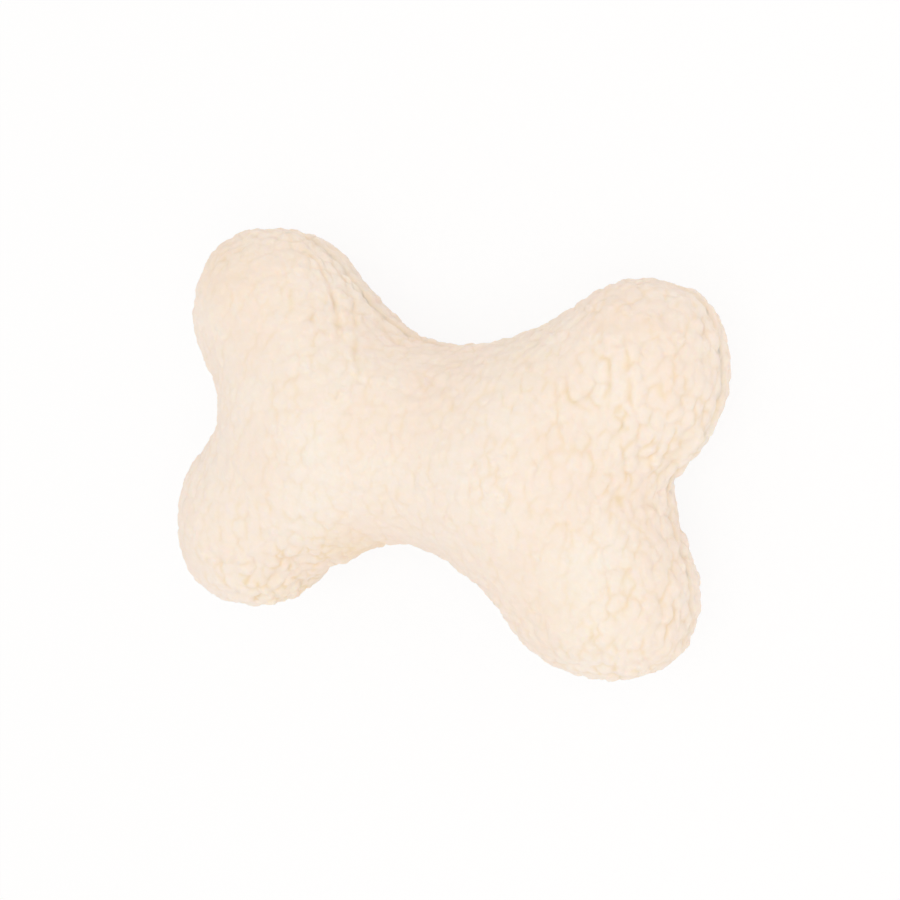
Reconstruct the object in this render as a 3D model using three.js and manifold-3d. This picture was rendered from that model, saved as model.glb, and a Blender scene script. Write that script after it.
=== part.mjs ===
// A stuffed bone toy for a dog: two bone-shaped panels of sherpa fleece, sewn together along
// their edge, turned through a gap that is then closed by hand, and stuffed with polyester
// wadding round a round squeaker. It lies on its back panel, its length along X, its width
// along Y and its thickness along Z. Lengths are in millimetres.

import * as THREE from 'three';
import { mergeVertices } from 'three/addons/utils/BufferGeometryUtils.js';
import Module from 'manifold-3d';

const wasm = await Module();
wasm.setup();

// Bone outline, taken along the seam
const lobeSpacingX = 150;
const lobeSpacingY = 84;
const lobeDiameter = 70;
const waistWidth = 78;
const notchDepth = 17.5;

// Stuffed thickness at the lobes, where the lobes of an end join, and at the waist
const lobeThickness = 72;
const forkThickness = 93;
const waistThickness = 77;
const forkSpacing = 84;
const baseFlatDepth = 0.5;

// The valley that the stitches draw in along the seam
const seamValleyDepth = 1.5;
const seamValleyHeight = 2;

// Fleece panels and their seam allowances, which lie face to face inside the toy
const fleeceThickness = 5;
const allowanceWidth = 7;
const allowanceThickness = 2;
const partingGap = 0.3;

// Sewing thread
const threadDiameter = 0.8;
const stitchInset = 1.4;
const closingThreadDepth = 4;
const turningGapLength = 64;

// Wadding
const coreWadDiameter = 116;
const seatGap = 0.3;

// Squeaker bulb, blow moulded, with a short neck on top
const bulbDiameter = 38;
const bulbHeight = 18;
const bulbWall = 0.9;
const bulbFullness = 2.6;
const neckHeight = 2;
const neckDiameter = 13;
const neckBore = 9.6;
const bulbClearance = 0.5;

// Squeaker plug, pressed into the neck, with the voice piece and its reed inside
const plugFlangeDiameter = 14;
const plugFlangeThickness = 1.2;
const plugLength = 8;
const plugWall = 1;
const voiceLength = 6.6;
const voiceHeadThickness = 1.4;
const voiceFlatOffset = 0.5;
const airChannelWidth = 2.4;
const airChannelDepth = 1.5;
const reedWidth = 3.8;
const reedThickness = 0.25;
const reedTipClearance = 0.6;

// Cutters reach this far past what they cut
const overrun = 2;

// How finely the curved forms are divided
const lobeSteps = 12;
const branchSteps = 4;
const middleSteps = 4;
const outerRings = 8;
const innerRings = 6;
const threadSteps = 72;
const closingThreadSteps = 12;
const threadSides = 6;
const bulbSides = 24;
const bulbSteps = 5;
const plugSides = 20;
const wadCutSides = 48;

// Worked out from the sizes above
const lobeX = lobeSpacingX / 2;
const lobeY = lobeSpacingY / 2;
const lobeRadius = lobeDiameter / 2;
const forkX = forkSpacing / 2;
const halfGap = partingGap / 2;
const threadRadius = threadDiameter / 2;
const halfThickest = Math.max(lobeThickness, forkThickness, waistThickness) / 2;
const seamHeight = halfThickest - baseFlatDepth;
const overallLength = lobeSpacingX + lobeDiameter;
const overallWidth = lobeSpacingY + lobeDiameter;

// The waist arc touches both lobes of a side and passes the middle at half the waist's width.
const waistRise = waistWidth / 2 - lobeY;
const waistRadius = (waistRise ** 2 + lobeX ** 2 - lobeRadius ** 2) / (2 * (lobeRadius - waistRise));
const waistY = waistWidth / 2 + waistRadius;

// The notch arc touches both lobes of an end and reaches notchDepth in from their tips.
const notchReach = lobeRadius - notchDepth;
const notchRadius = (notchReach ** 2 + lobeY ** 2 - lobeRadius ** 2) / (2 * (lobeRadius - notchReach));
const notchX = lobeX + notchReach + notchRadius;

// Directions, at a lobe's centre, of the waist arc's centre and of the notch arc's centre
const waistAngle = Math.atan2(waistY - lobeY, lobeX);
const notchAngle = Math.atan2(lobeY, notchX - lobeX);

const fleeceMaterial = new THREE.MeshStandardMaterial({ color: 0xfaebda, roughness: 0.95, metalness: 0 });
const threadMaterial = new THREE.MeshStandardMaterial({ color: 0xf4ead8, roughness: 0.7, metalness: 0 });
const waddingMaterial = new THREE.MeshStandardMaterial({ color: 0xf7f7f5, roughness: 1, metalness: 0 });
const bulbMaterial = new THREE.MeshStandardMaterial({ color: 0xf1f1ec, roughness: 0.45, metalness: 0 });
const plugMaterial = new THREE.MeshStandardMaterial({ color: 0xe6e6e1, roughness: 0.35, metalness: 0 });
const reedMaterial = new THREE.MeshStandardMaterial({ color: 0xd9dbd6, roughness: 0.2, metalness: 0 });

const toy = new THREE.Group();
toy.position.z = seamHeight;

// Turns a closed geometry into a solid, with its shared corners merged and its empty triangles gone.
function toSolid(geometry) {
  const bare = geometry.clone();
  bare.deleteAttribute('normal');
  bare.deleteAttribute('uv');
  const merged = mergeVertices(bare);
  const index = merged.index.array;
  const triangles = [];
  for (let i = 0; i < index.length; i += 3) {
    const [a, b, c] = [index[i], index[i + 1], index[i + 2]];
    if (a !== b && b !== c && c !== a) {
      triangles.push(a, b, c);
    }
  }
  return new wasm.Manifold(new wasm.Mesh({
    numProp: 3,
    vertProperties: Float32Array.from(merged.attributes.position.array),
    triVerts: Uint32Array.from(triangles),
  }));
}

function toGeometry(solid) {
  const mesh = solid.getMesh();
  const geometry = new THREE.BufferGeometry();
  geometry.setAttribute('position', new THREE.BufferAttribute(mesh.vertProperties, mesh.numProp));
  geometry.setIndex(new THREE.BufferAttribute(mesh.triVerts, 1));
  geometry.computeVertexNormals();
  return geometry;
}

function addPiece(name, solid, material) {
  const piece = new THREE.Mesh(toGeometry(solid), material);
  piece.name = name;
  toy.add(piece);
}

// The bone outline at a distance inside the seam, as arcs that run round from the near waist.
// A turning angle leaves that much of the waist arc open on each side of its middle.
function outlineArcs(inset, turningAngle = 0) {
  const path = new THREE.Path();
  const round = lobeRadius - inset;
  const waist = waistRadius + inset;
  const notch = notchRadius + inset;
  const { PI } = Math;
  path.absarc(0, -waistY, waist, PI / 2 - turningAngle, waistAngle, true);
  path.absarc(lobeX, -lobeY, round, waistAngle - PI, notchAngle, false);
  path.absarc(notchX, 0, notch, PI + notchAngle, PI - notchAngle, true);
  path.absarc(lobeX, lobeY, round, -notchAngle, PI - waistAngle, false);
  path.absarc(0, waistY, waist, -waistAngle, waistAngle - PI, true);
  path.absarc(-lobeX, lobeY, round, waistAngle, PI + notchAngle, false);
  path.absarc(-notchX, 0, notch, notchAngle, -notchAngle, true);
  path.absarc(-lobeX, -lobeY, round, PI - notchAngle, 2 * PI - waistAngle, false);
  path.absarc(0, -waistY, waist, PI - waistAngle, PI / 2 + turningAngle, true);
  return path.curves.filter((curve) => curve.isEllipseCurve);
}

// The spine that the panels swell along: the middle, a fork at each end, and the lobes' centres
const middle = { x: 0, y: 0, half: waistThickness / 2 };
const fork = (sideX) => ({ x: sideX * forkX, y: 0, half: forkThickness / 2 });
const lobe = (sideX, sideY) => ({ x: sideX * lobeX, y: sideY * lobeY, half: lobeThickness / 2 });

// For each arc of the outline, the stretch of spine that faces it, as legs from point to point
const lobeLeg = (sideX, sideY) => [[lobe(sideX, sideY), lobe(sideX, sideY), lobeSteps]];
const outward = (sideX, sideY) => [fork(sideX), lobe(sideX, sideY), branchSteps];
const inward = (sideX, sideY) => [lobe(sideX, sideY), fork(sideX), branchSteps];
const toMiddle = (sideX) => [fork(sideX), middle, middleSteps];
const fromMiddle = (sideX) => [middle, fork(sideX), middleSteps];
const spineRoutes = [
  [fromMiddle(1), outward(1, -1)],
  lobeLeg(1, -1),
  [inward(1, -1), outward(1, 1)],
  lobeLeg(1, 1),
  [inward(1, 1), toMiddle(1), fromMiddle(-1), outward(-1, 1)],
  lobeLeg(-1, 1),
  [inward(-1, 1), outward(-1, -1)],
  lobeLeg(-1, -1),
  [inward(-1, -1), toMiddle(-1)],
];

// Spokes of the bone in plan. Each runs from its foot on the spine to the outline at an inset.
function spokes(inset) {
  const list = [];
  outlineArcs(inset).forEach((arc, i) => {
    const total = spineRoutes[i].reduce((sum, leg) => sum + leg[2], 0);
    let done = 0;
    for (const [from, to, steps] of spineRoutes[i]) {
      for (let k = 0; k < steps; k++) {
        const share = k / steps;
        const swell = THREE.MathUtils.smoothstep(share, 0, 1);
        list.push({
          edge: arc.getPoint((done + k) / total),
          foot: new THREE.Vector2(from.x + (to.x - from.x) * share, from.y + (to.y - from.y) * share),
          half: from.half + (to.half - from.half) * swell,
        });
      }
      done += steps;
    }
  });
  return list;
}

// One ring of a swelling dome. The dome's section is a quarter of an ellipse on every spoke,
// from its crown over the spine (angle 0) to its rim at the outline (a quarter turn). It stands
// on a base height, and it stops at a floor height where one is given.
function domeRing(inset, base, angle, floor = base) {
  return spokes(inset).map(({ edge, foot, half }) => {
    const rise = half - inset - base;
    const steepest = Math.acos((floor - base) / rise);
    const turn = Math.min(angle, steepest);
    const point = foot.clone().lerp(edge, Math.sin(turn));
    return new THREE.Vector3(point.x, point.y, base + rise * Math.cos(turn));
  });
}

function flatRing(inset, z) {
  return spokes(inset).map(({ edge }) => new THREE.Vector3(edge.x, edge.y, z));
}

function dome(rings, inset, base, floor) {
  return Array.from({ length: rings + 1 }, (_, i) => domeRing(inset, base, (i / rings) * (Math.PI / 2), floor));
}

const upsideDown = (rings) => rings.map((ring) => ring.map((p) => new THREE.Vector3(p.x, p.y, -p.z)));

// Skins over rings of equally many points. The first and last ring lie double along the spine,
// which closes the skin there.
function loft(rings) {
  const count = rings[0].length;
  const positions = rings.flat().flatMap((p) => [p.x, p.y, p.z]);
  const index = [];
  for (let r = 0; r + 1 < rings.length; r++) {
    for (let k = 0; k < count; k++) {
      const next = (k + 1) % count;
      const [a, b] = [r * count + k, (r + 1) * count + k];
      const [c, d] = [(r + 1) * count + next, r * count + next];
      index.push(a, b, c, a, c, d);
    }
  }
  const geometry = new THREE.BufferGeometry();
  geometry.setAttribute('position', new THREE.Float32BufferAttribute(positions, 3));
  geometry.setIndex(index);
  return toSolid(geometry);
}

// A tube of thread along a line of points at one height
function threadTube(points, z, steps, radius) {
  const route = new THREE.CatmullRomCurve3(points.map((p) => new THREE.Vector3(p.x, p.y, z)));
  const section = new THREE.Shape();
  for (let i = 0; i < threadSides; i++) {
    const angle = (i / threadSides) * 2 * Math.PI;
    const [x, y] = [radius * Math.cos(angle), radius * Math.sin(angle)];
    if (i === 0) {
      section.moveTo(x, y);
    } else {
      section.lineTo(x, y);
    }
  }
  return toSolid(new THREE.ExtrudeGeometry(section, { steps, extrudePath: route }));
}

function box(width, depth, height, x, y, z) {
  return toSolid(new THREE.BoxGeometry(width, depth, height).translate(x, y, z));
}

function revolve(profile, sides) {
  return toSolid(new THREE.LatheGeometry(profile, sides).rotateX(Math.PI / 2));
}

// Closing thread: drawn along the folded edges of the turning gap, halfway along the near side
const closingAngle = turningGapLength / 2 / waistRadius;
function closingRoute(extraAngle) {
  const reach = closingAngle + extraAngle;
  const arc = new THREE.EllipseCurve(
    0,
    -waistY,
    waistRadius + closingThreadDepth,
    waistRadius + closingThreadDepth,
    Math.PI / 2 - reach,
    Math.PI / 2 + reach,
  );
  return arc.getSpacedPoints(closingThreadSteps);
}
const channelRadius = threadRadius + seatGap;
const closingChannel = threadTube(closingRoute(channelRadius / waistRadius), 0, closingThreadSteps, channelRadius);
const closingThread = threadTube(closingRoute(0), 0, closingThreadSteps, threadRadius);

// A panel: its outer skin down to the valley along the seam, in along the parting plane to the
// edge of its seam allowance, back over the allowance, and up the inside of the skin
const allowanceInset = fleeceThickness + allowanceWidth;
const allowanceTop = halfGap + allowanceThickness;
const panel = loft([
  ...dome(outerRings, 0, seamValleyHeight),
  flatRing(seamValleyDepth, halfGap),
  flatRing(allowanceInset, halfGap),
  flatRing(allowanceInset, allowanceTop),
  ...dome(innerRings, fleeceThickness, allowanceTop).reverse(),
]);
const frontPanel = panel.subtract(closingChannel);
const baseCut = box(
  overallLength,
  overallWidth,
  overrun + baseFlatDepth,
  0,
  0,
  -seamHeight - (overrun + baseFlatDepth) / 2,
);
const backPanel = panel.mirror([0, 0, 1]).subtract(closingChannel).subtract(baseCut);
addPiece('front_panel', frontPanel, fleeceMaterial);
addPiece('back_panel', backPanel, fleeceMaterial);

// Lockstitch seam: the needle thread lies on the front allowance and the bobbin thread on the
// back one, and both stop at the turning gap.
const seamInset = fleeceThickness + stitchInset;
const seamThreadHeight = allowanceTop + seatGap + threadRadius;
const seamRoute = new THREE.CurvePath();
seamRoute.curves = outlineArcs(seamInset, closingAngle);
const seamPoints = seamRoute.getSpacedPoints(threadSteps);
addPiece('needle_thread', threadTube(seamPoints, seamThreadHeight, threadSteps, threadRadius), threadMaterial);
addPiece('bobbin_thread', threadTube(seamPoints, -seamThreadHeight, threadSteps, threadRadius), threadMaterial);
addPiece('closing_thread', closingThread, threadMaterial);

// All the wadding as one form: it fills both panels, and steps in round the seam allowances
const wadInset = fleeceThickness + seatGap;
const stepHeight = seamThreadHeight + threadRadius + seatGap;
const stepInset = allowanceInset + seatGap;
const frontHalf = [...dome(innerRings, wadInset, allowanceTop, stepHeight), flatRing(stepInset, stepHeight)];
const wadding = loft([...frontHalf, ...upsideDown(frontHalf).reverse()]);

// The core wad fills the waist and the forks, and the lobes' wads are packed against its ends.
function coreCutter(radius) {
  const height = 2 * (halfThickest + overrun);
  const drum = new THREE.CylinderGeometry(radius, radius, height, wadCutSides);
  return toSolid(drum.rotateX(Math.PI / 2));
}
const coreWad = wadding.intersect(coreCutter(coreWadDiameter / 2));
const lobeWads = wadding.subtract(coreCutter(coreWadDiameter / 2 + seatGap));

// Squeaker, its axis upright in the middle of the toy
const bulbRadius = bulbDiameter / 2;
const bulbHalf = bulbHeight / 2;
const neckTop = bulbHalf + neckHeight;
const plugSeat = neckTop + seatGap;
const plugTop = plugSeat + plugFlangeThickness;
const plugRadius = neckBore / 2 - seatGap;
const plugBore = plugRadius - plugWall;
const plugBottom = plugSeat - plugLength;

// A pillow-shaped half section from its lowest point up to where it has narrowed to a neck
function bulbProfile(radius, half, neckRadius) {
  const last = Math.acos((neckRadius / radius) ** (bulbFullness / 2));
  return Array.from({ length: bulbSteps * 2 + 1 }, (_, i) => {
    const angle = -Math.PI / 2 + (i / (bulbSteps * 2)) * (last + Math.PI / 2);
    const across = Math.max(Math.cos(angle), 0) ** (2 / bulbFullness);
    const up = Math.abs(Math.sin(angle)) ** (2 / bulbFullness) * Math.sign(angle);
    return new THREE.Vector2(i === 0 ? 0 : radius * across, half * up);
  });
}
const bulb = revolve([
  ...bulbProfile(bulbRadius, bulbHalf, neckDiameter / 2),
  new THREE.Vector2(neckDiameter / 2, neckTop),
  new THREE.Vector2(neckBore / 2, neckTop),
  ...bulbProfile(bulbRadius - bulbWall, bulbHalf - bulbWall, neckBore / 2).reverse(),
], bulbSides);

// The hollow that the squeaker lies in, with room round the neck for the plug's flange
const collarRadius = Math.max(neckDiameter, plugFlangeDiameter) / 2 + seatGap;
const squeakerHollow = revolve([
  ...bulbProfile(bulbRadius + bulbClearance, bulbHalf + bulbClearance, collarRadius),
  new THREE.Vector2(collarRadius, plugTop + seatGap),
  new THREE.Vector2(0, plugTop + seatGap),
], bulbSides);
const hollowCore = coreWad.subtract(squeakerHollow);
const halfSpace = (side) => box(
  overallLength,
  overallWidth,
  halfThickest + overrun,
  0,
  0,
  side * (halfGap + (halfThickest + overrun) / 2),
);
addPiece('core_filling_front', hollowCore.intersect(halfSpace(1)), waddingMaterial);
addPiece('core_filling_back', hollowCore.intersect(halfSpace(-1)), waddingMaterial);

for (const [nameX, sideX] of [['left', -1], ['right', 1]]) {
  for (const [nameY, sideY] of [['near', -1], ['far', 1]]) {
    const quarter = box(
      overallLength / 2,
      overallWidth / 2,
      2 * (halfThickest + overrun),
      sideX * (halfGap + overallLength / 4),
      sideY * (halfGap + overallWidth / 4),
      0,
    );
    addPiece(`lobe_filling_${nameX}_${nameY}`, lobeWads.intersect(quarter), waddingMaterial);
  }
}

addPiece('squeaker_bulb', bulb, bulbMaterial);

// Plug: a short barrel with a flange that rests on the bulb's neck
const plug = revolve([
  new THREE.Vector2(plugBore, plugBottom),
  new THREE.Vector2(plugRadius, plugBottom),
  new THREE.Vector2(plugRadius, plugSeat),
  new THREE.Vector2(plugFlangeDiameter / 2, plugSeat),
  new THREE.Vector2(plugFlangeDiameter / 2, plugTop),
  new THREE.Vector2(plugBore, plugTop),
  new THREE.Vector2(plugBore, plugBottom),
], plugSides);
addPiece('squeaker_plug', plug, plugMaterial);

// Voice piece: a rod in the plug's bore with a flat along one side, an air channel sunk in the
// flat, and a round head at the top that the reed butts against
const voiceRadius = plugBore - seatGap;
const voiceTop = plugTop - plugFlangeThickness / 2;
const voiceBottom = voiceTop - voiceLength;
const headBottom = voiceTop - voiceHeadThickness;
const rod = new THREE.CylinderGeometry(voiceRadius, voiceRadius, voiceLength, plugSides)
  .rotateX(Math.PI / 2)
  .translate(0, 0, (voiceTop + voiceBottom) / 2);
const flatLength = headBottom - voiceBottom + overrun;
const flatCut = box(
  plugBore,
  2 * plugBore,
  flatLength,
  voiceFlatOffset + plugBore / 2,
  0,
  headBottom - flatLength / 2,
);
const channelLength = voiceLength + 2 * overrun;
const channelCut = box(
  airChannelDepth,
  airChannelWidth,
  channelLength,
  voiceFlatOffset - airChannelDepth / 2,
  0,
  (voiceTop + voiceBottom) / 2,
);
addPiece('voice_piece', toSolid(rod).subtract(flatCut).subtract(channelCut), plugMaterial);

// Reed: a thin strip that lies over the air channel and flutters when air is pressed past it
const reedTop = headBottom - seatGap;
const reedBottom = voiceBottom + reedTipClearance;
const reed = box(
  reedThickness,
  reedWidth,
  reedTop - reedBottom,
  voiceFlatOffset + seatGap + reedThickness / 2,
  0,
  (reedTop + reedBottom) / 2,
);
addPiece('squeaker_reed', reed, reedMaterial);

export default toy;
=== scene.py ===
"""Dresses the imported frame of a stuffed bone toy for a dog, on a pale floor in soft light.

The fleece panels get their curly pile and their sewn seam, and the soft pieces inside them are made as well.
"""
import math

import bmesh
import bpy
import numpy as np
from mathutils import Matrix, Vector, kdtree, noise


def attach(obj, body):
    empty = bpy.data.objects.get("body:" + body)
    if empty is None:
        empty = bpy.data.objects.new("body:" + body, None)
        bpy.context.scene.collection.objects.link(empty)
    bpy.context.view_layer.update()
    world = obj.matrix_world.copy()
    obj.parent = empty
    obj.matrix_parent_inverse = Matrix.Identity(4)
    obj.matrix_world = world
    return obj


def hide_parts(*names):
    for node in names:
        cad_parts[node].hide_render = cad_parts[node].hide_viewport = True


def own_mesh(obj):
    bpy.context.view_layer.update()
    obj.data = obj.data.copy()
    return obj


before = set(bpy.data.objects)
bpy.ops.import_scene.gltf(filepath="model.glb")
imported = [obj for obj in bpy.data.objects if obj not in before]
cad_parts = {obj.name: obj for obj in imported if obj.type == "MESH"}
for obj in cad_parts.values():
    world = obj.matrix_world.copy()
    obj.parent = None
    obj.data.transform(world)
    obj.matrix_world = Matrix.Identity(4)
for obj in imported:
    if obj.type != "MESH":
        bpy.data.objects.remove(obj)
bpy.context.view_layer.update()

NOISE_SEED = 5
noise.seed_set(NOISE_SEED)
MM = 0.001
WELD = 0.01

# Sizes of the toy, in millimetres, as in the part's source
LOBE_X = 75.0
LOBE_Y = 42.0
LOBE_RADIUS = 35.0
WAIST_HALF_WIDTH = 39.0
NOTCH_DEPTH = 17.5
LOBE_HALF = 36.0
FORK_HALF = 46.5
WAIST_HALF = 38.5
FORK_X = 42.0
SEAM_HEIGHT = 46.0
FLEECE = 5.0
ALLOWANCE_WIDTH = 7.0
ALLOWANCE_THICKNESS = 2.0
HALF_GAP = 0.15
THREAD_RADIUS = 0.4
SEAT_GAP = 0.3
STITCH_INSET = 1.4
CLOSING_THREAD_DEPTH = 4.0
TURNING_GAP = 64.0
BULB_RADIUS = 19.0
BULB_HALF = 9.0
BULB_WALL = 0.9
BULB_FULLNESS = 2.6
NECK_HEIGHT = 2.0
NECK_RADIUS = 6.5
NECK_BORE_RADIUS = 4.8

# The waist and notch arcs that join the lobes' circles
_rise = WAIST_HALF_WIDTH - LOBE_Y
WAIST_RADIUS = (_rise ** 2 + LOBE_X ** 2 - LOBE_RADIUS ** 2) / (2 * (LOBE_RADIUS - _rise))
WAIST_Y = WAIST_HALF_WIDTH + WAIST_RADIUS
_reach = LOBE_RADIUS - NOTCH_DEPTH
NOTCH_RADIUS = (_reach ** 2 + LOBE_Y ** 2 - LOBE_RADIUS ** 2) / (2 * (LOBE_RADIUS - _reach))
NOTCH_X = LOBE_X + _reach + NOTCH_RADIUS
WAIST_ANGLE = math.atan2(WAIST_Y - LOBE_Y, LOBE_X)
NOTCH_ANGLE = math.atan2(LOBE_Y, NOTCH_X - LOBE_X)

# The loft: steps round a lobe, along a branch of the spine and along its middle, then rings, crown to rim
STEPS = (28, 10, 10)
FORM_RINGS = 14
INSIDE_RINGS = 10

# The cloth that blows the form up: inset and cell in millimetres, pressure, shrinkage, frames, furthest move
SIM_INSET = -0.6
VOXEL = 6.6
SIM_PRESSURE = 4.0
SIM_SHRINK = 0.03
SIM_FRAMES = 20
SIM_CAP = 6.0
SUBDIVISIONS = 3

# The pile: tufts of curls, in millimetres
TUFT_SPACING = 4.0
TUFT_CANDIDATES = 60000
TUFT_NEIGHBOURS = 4
TUFT_HEIGHTS = (-0.9, 0.6)
TUFT_ROUNDNESS = 0.16
TUFT_SHARPNESS = 2.6
TUFT_RELIEF = 0.37
TUFT_WANDER = 1.9
TUFT_FINE_WANDER = 0.75
NAP_SQUEEZE = 0.76
CURL_RELIEF = 0.6
CURL_SIZE = 2.1
CURL_WANDER = 0.8
CURL_SOFTNESS = 0.12
CURL_MIDDLE = 0.25
LUMP_RELIEF = 0.3

# A strength's share that is always there, and the share that grows: with how lively the pile is, with how
# upright a parting runs, and in the patches where partings show
RELIEF_SHARES = (0.35, 0.55)
RIM_SHARES = (0.75, 0.45)
UPRIGHT_SHARES = (0.45, 0.55)
SHOWN_SHARES = (0.06, 0.94)

# The tufts stand higher beside the seam: by how much, and how far from it
RIM_RELIEF = 0.45
RIM_REACH = 24.0

# The patches where partings show: how they stretch, and the noise's level and range over which they begin
SHOWN_STRETCH = (1, 0.5, 1)
SHOWN_FROM = -0.08
SHOWN_RANGE = 0.4

# The partings between the tufts: how wide and deep they are, and how wide and strong the painted shade in
# them is
LINE_WIDTH = 1.05
LINE_DEPTH = 0.15
PAINTED_SHADE_WIDTH = 1.25
PAINTED_SHADE_STRENGTH = 0.9
# Painted shade in the hollows where the tufts lie low: its strength, and the tuft level and range over which
# it begins
HOLLOW_PAINTED_SHADE = 0.2
HOLLOW_FROM = 0.6
HOLLOW_RANGE = 1.8

# Where the tufts part more or less than elsewhere: place in plan, reach and strength
CALM = 0.38
LIVELY_CHANGE = 0.5
LIVELY_RANGE = (0.05, 1.3)
LIVELY = (
    (93, 8, 28, 0.5),
    (92, 45, 24, 0.5),
    (104, -48, 20, 0.6),
    (82, -70, 15, 0.6),
    (58, 20, 24, 0.1),
    (-56, -64, 19, 0.9),
    (-34, -48, 15, 0.6),
    (-36, 46, 20, 0.1),
    (68, -40, 15, -0.2),
)

# Patches of painted shade, yellower, where shade falls on the pile: place in plan, reach and strength
PAINTED_SHADE_PATCHES = (
    (-25, -47, 11, 0.6),
    (-55, -72, 11, 0.35),
    (40, 45, 13, 0.2),
    (-92, 60, 15, 0.25),
    (-62, 72, 12, 0.1),
    (76, -44, 18, 0.12),
)

# Folds and creases of the fleece: their depth, the strength of the painted shade in them and their half
# width, then places along each
FOLDS = (
    (0.8, 0.6, 1.2, (-66, 70, 60), (-55, 65, 59), (-45, 56, 63), (-39, 46, 69), (-34, 37, 77)),
    (
        0.9, 0.6, 1.2,
        (-56, 69, 50), (-45, 58, 52), (-38, 51, 58), (-32, 42, 66), (-27, 34, 74), (-22, 25, 80),
    ),
    (0.6, 0.3, 1.6, (-40, 54, 48), (-30, 48, 52), (-19, 40, 57), (-8, 37, 60)),
    (0.4, 0.7, 1.2, (-50, 54, 71), (-48, 50, 73), (-46, 44, 76)),
    (0.3, 0.6, 1.2, (-57, 55, 74), (-55, 50, 76), (-54, 46, 78)),
    (1.7, 0.4, 4.0, (105, 23, 60), (101, 17, 60), (96, 9, 57)),
    (0.6, 0.3, 1.5, (93, 7, 57), (90, -2, 62), (94, -8, 55)),
    (0.3, 0.6, 0.9, (63, 39, 83), (65, 33, 84), (73, 28, 83)),
    (0.3, 0.6, 0.9, (70, 50, 80), (77, 48, 81), (78, 41, 82), (79, 30, 81)),
    (0.3, 0.7, 0.9, (85, 43, 80), (85, 36, 80), (87, 30, 78)),
    (0.3, 0.6, 0.9, (95, 50, 74), (96, 43, 74)),
    (0.3, 0.5, 0.9, (63, -18, 87), (67, -13, 86), (73, -13, 84)),
    (0.4, 0.7, 1.1, (83, 3, 73), (84, -5, 73)),
    (0.3, 0.7, 0.9, (89, -25, 74), (91, -35, 76), (87, -36, 78)),
    (0.3, 0.6, 0.9, (88, -9, 71), (93, -14, 65)),
    (0.3, 0.4, 0.9, (7, 35, 65), (15, 27, 77), (20, 21, 83)),
    (0.3, 0.4, 0.9, (-2, 30, 71), (6, 24, 77)),
)

# The raised banks of a fold: their height against its depth, and their place and width in its half widths
BANK_HEIGHT = 0.4
BANK_PLACE = 2.4
BANK_WIDTH = 1.2

# A fold fades towards its ends, as a sine does: where its half wave starts, how long it is, and its power
FADE_START = 0.08
FADE_SPAN = 0.84
FADE_POWER = 0.6
FOLD_WANDER = 1.6

# The seam: its groove, the wander of its line, the still band beside it, the halves' parting and the painted
# shade in its groove
SEAM_GROOVE_DEPTH = 1.1
SEAM_GROOVE_CHANGE = 0.4
SEAM_GROOVE_WIDTH = 2.2
SEAM_WANDER = 1.1
SEAM_RIPPLE = 0.5
SEAM_WANDER_REACH = 4.0
SEAM_STILL_BAND = 2.5
SEAM_PARTING = 0.004
SEAM_PAINTED_SHADE = 0.55
ON_SEAM = 1e-3

# Where the stuffing pushes the outline out or the sewing draws it in: place, push and reach of each, in plan
PUSHES = (
    (-113, -46, 2.4, 0.4, 19),
    (-102, -77, -2.4, -3.4, 12),
    (-46, -61, -1.8, 2.6, 11),
    (-14, -41, 0.2, 3.0, 14),
    (-18, 42, -0.7, -2.6, 14),
    (22, 43, 0.0, 1.0, 14),
    (26, -49, -1.6, -2.2, 14),
    (40, -63, -3.2, -3.4, 12),
    (76, -78, 0.0, 2.2, 16),
    (107, -60, 1.6, -1.2, 14),
    (111, -31, -1.4, -0.2, 12),
    (98, -6, 2.0, 0.8, 7),
    (95, 4, -4.0, -0.4, 6),
    (102, 14, 3.8, -2.8, 9),
    (98, 73, 1.5, 2.0, 12),
    (53, 69, 1.4, -2.4, 13),
    (-67, 76, -0.2, -1.6, 13),
    (-52, 66, -1.4, -1.2, 12),
    (-107, 66, -2.0, 1.6, 13),
    (-109, 18, -1.6, -1.0, 12),
    (-106, -17, -1.8, 1.0, 10),
)

# The closed shell of a panel: the slopes beside the closing thread's channel and the room at its ends
CHANNEL_SLOPE = 0.3
CHANNEL_END_ROOM = 2.0

# The wadding: how coarsely it is rounded, how far it lies inside its solid and how deep its tufts pull in
WAD_VOXEL = 3.2
WAD_SHRINK = 0.8
WAD_LUMPS = 1.3
WAD_CREASES = 0.25
WAD_LUMP_LIMIT = 1.5

# The threads: stitches, the dip at each needle hole, and the hand stitch that steps from fold to fold
THREAD_STEP = 0.5
THREAD_END_TAPER = 0.55
STITCH_LENGTH = 3.0
STITCH_DIP = 0.25
HOLE_REACH = 0.5
SEAM_ROUTE_STEPS = (80, 30, 30)
LADDER_STEPS = 160
LADDER_PITCH = 8.0
LADDER_RUNG = 0.2
LADDER_SHARPNESS = 3.0

# The squeaker's bulb: the mould's line round its middle, the shallow rings above and below it, and its lip
MOULD_LINE = 0.22
MOULD_LINE_REACH = 0.35
RING_HEIGHT = 0.12
RING_COUNT = 14
RING_SHARPNESS = 8
RINGS_FROM = 0.5
BULB_OUTSIDE_STEPS = 41
BULB_INSIDE_STEPS = 31
LIP = 0.25

# Camera: turns about the toy's own axes, then distance, offset and lens, in degrees and millimetres
CAMERA_YAW = -23.7
CAMERA_PITCH = 8.8
CAMERA_ROLL = -6.66
CAMERA_DISTANCE = 810.0
CAMERA_OFFSET = (3.8, -0.8)
PIXELS_PER_MM = 2.575
PHOTO_SIDE = 900
SENSOR = 36.0

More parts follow.
